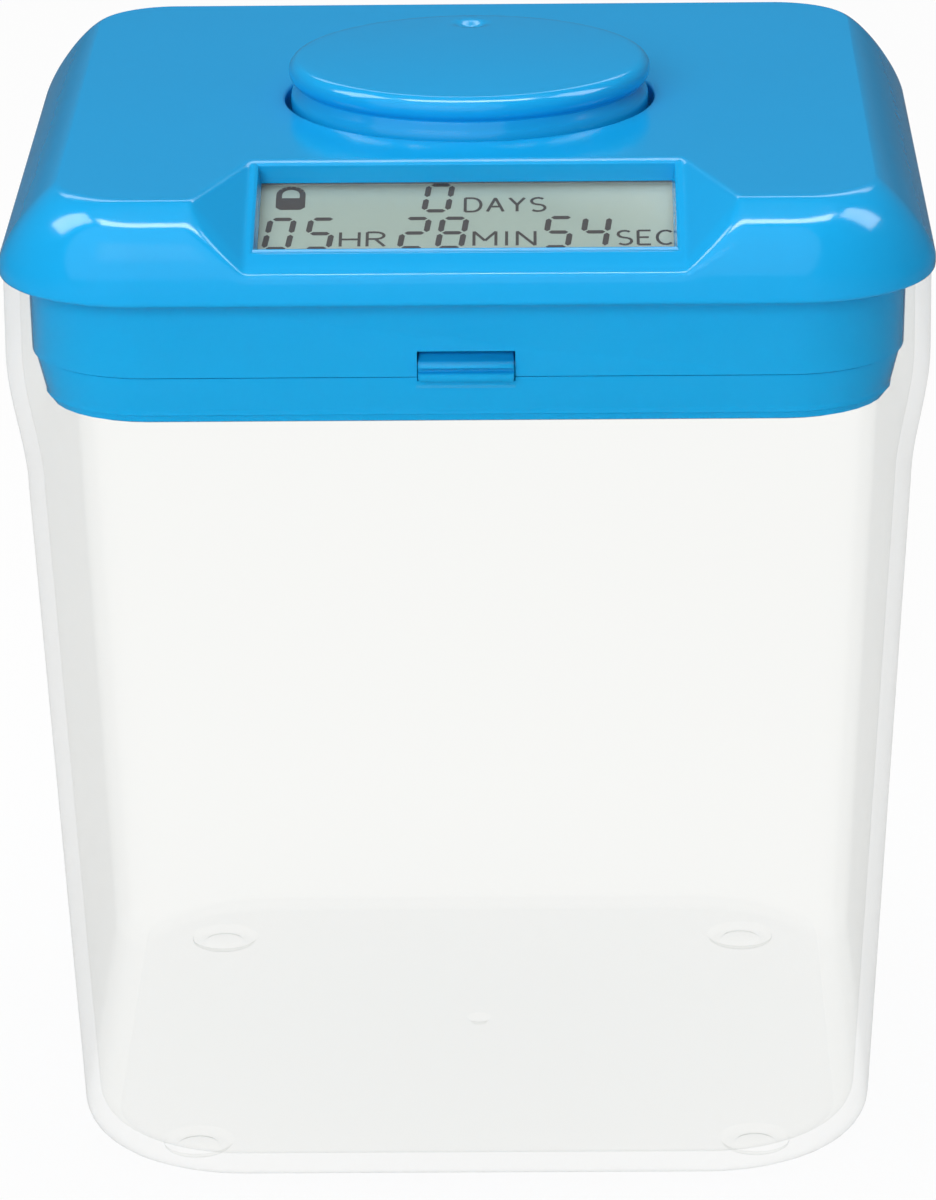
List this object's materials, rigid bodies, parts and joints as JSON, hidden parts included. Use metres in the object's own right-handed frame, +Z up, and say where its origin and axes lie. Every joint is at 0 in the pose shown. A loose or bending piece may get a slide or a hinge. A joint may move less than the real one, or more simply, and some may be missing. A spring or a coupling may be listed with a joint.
{
  "type": "timed lock container",
  "caption": "Clear square tub with a flared collar and a lid that locks for a set time: push dial, tilted display, twin sliding bolts and a hinged battery door.",
  "frame": {"origin": "middle of the base, on the plane that the four feet rest on", "axes": "+Z up, front with the display towards -Y, +X to the right seen from the front"},
  "size_m": [0.1524, 0.1524, 0.1799],
  "materials": {
    "clear_tub": "clear moulded plastic",
    "lid_blue": "glossy moulded blue",
    "clear_window": "clear window",
    "display_glass": "grey-green liquid crystal panel",
    "white_plastic": "natural white moulding",
    "black_plastic": "black moulding",
    "rubber_strip": "layered rubber",
    "board_green": "solder-masked board",
    "steel": "turned and plated steel",
    "cell_skin": "shrink-wrapped cell",
    "wire_red": "insulated wire"
  },
  "bodies": {
    "container": {"container": "clear_tub"},
    "lid": {"lid_top_cover": "lid_blue", "lid_skirt": "lid_blue", "lid_bottom_cover": "lid_blue", "display_window": "clear_window", "lcd_panel": "display_glass", "lcd_holder": "white_plastic", "lcd_connectors": "rubber_strip", "display_board": "board_green", "display_screws": "steel", "display_ribbon": "white_plastic", "encoder_body": "steel", "push_dome": "steel", "control_board": "board_green", "board_chips": "black_plastic", "board_connectors": "white_plastic", "position_sensor": "black_plastic", "lock_axle": "steel", "axle_washer": "steel", "idler_axle": "steel", "motor": "steel", "motor_clamp": "black_plastic", "door_hinge_pin": "steel", "battery_inner": "cell_skin", "battery_outer": "cell_skin", "battery_springs": "steel", "battery_plates": "steel", "battery_leads": "wire_red", "motor_leads": "wire_red", "cover_screws": "steel", "board_screws": "steel"},
    "dial_press": {"encoder_slider": "black_plastic"},
    "dial": {"dial_knob": "lid_blue", "encoder_shaft": "steel"},
    "lock_wheel": {"lock_wheel": "white_plastic"},
    "bolt_front": {"bolt_front": "lid_blue"},
    "bolt_rear": {"bolt_rear": "lid_blue"},
    "idler_gear": {"idler_gear": "white_plastic"},
    "motor_rotor": {"motor_shaft": "steel", "motor_pinion": "white_plastic"},
    "battery_door": {"battery_door": "lid_blue"}
  },
  "joints": [
    {"name": "lid_lift", "type": "slide", "parent": "container", "child": "lid", "axis": [0, 0, 1], "range_m": [0, 0.06]},
    {"name": "dial_push", "type": "slide", "parent": "lid", "child": "dial_press", "axis": [0, 0, -1], "range_m": [0, 0.001], "stiffness_N_per_m": 900, "springref_m": -0.002, "deforming": ["push_dome"]},
    {"name": "dial_turn", "type": "hinge", "parent": "dial_press", "child": "dial", "pos_m": [0, 0, 0.17], "axis": [0, 0, 1], "continuous": true},
    {"name": "lock_turn", "type": "hinge", "parent": "lid", "child": "lock_wheel", "pos_m": [0, 0, 0.1486], "axis": [0, 0, 1], "range_deg": [0, 90]},
    {"name": "bolt_front_slide", "type": "slide", "parent": "lid", "child": "bolt_front", "axis": [0, -1, 0], "range_m": [0, 0.002]},
    {"name": "bolt_rear_slide", "type": "slide", "parent": "lid", "child": "bolt_rear", "axis": [0, 1, 0], "range_m": [0, 0.002]},
    {"name": "idler_turn", "type": "hinge", "parent": "lid", "child": "idler_gear", "pos_m": [0.027, 0, 0.15], "axis": [0, 0, 1], "range_deg": [-258, 0]},
    {"name": "motor_turn", "type": "hinge", "parent": "lid", "child": "motor_rotor", "pos_m": [0.03921, 0.01456, 0.15], "axis": [0, 0, 1], "range_deg": [0, 558]},
    {"name": "battery_door_swing", "type": "hinge", "parent": "lid", "child": "battery_door", "pos_m": [-0.0638, 0, 0.1363], "axis": [0, 1, 0], "range_deg": [0, 85]}
  ],
  "couplings": [
    {"joint": "bolt_front_slide", "follows": "lock_turn", "m_per_rad": 0.001273},
    {"joint": "bolt_rear_slide", "follows": "lock_turn", "m_per_rad": 0.001273},
    {"joint": "idler_turn", "follows": "lock_turn", "ratio": -2.8571},
    {"joint": "motor_turn", "follows": "lock_turn", "ratio": 6.1905}
  ]
}
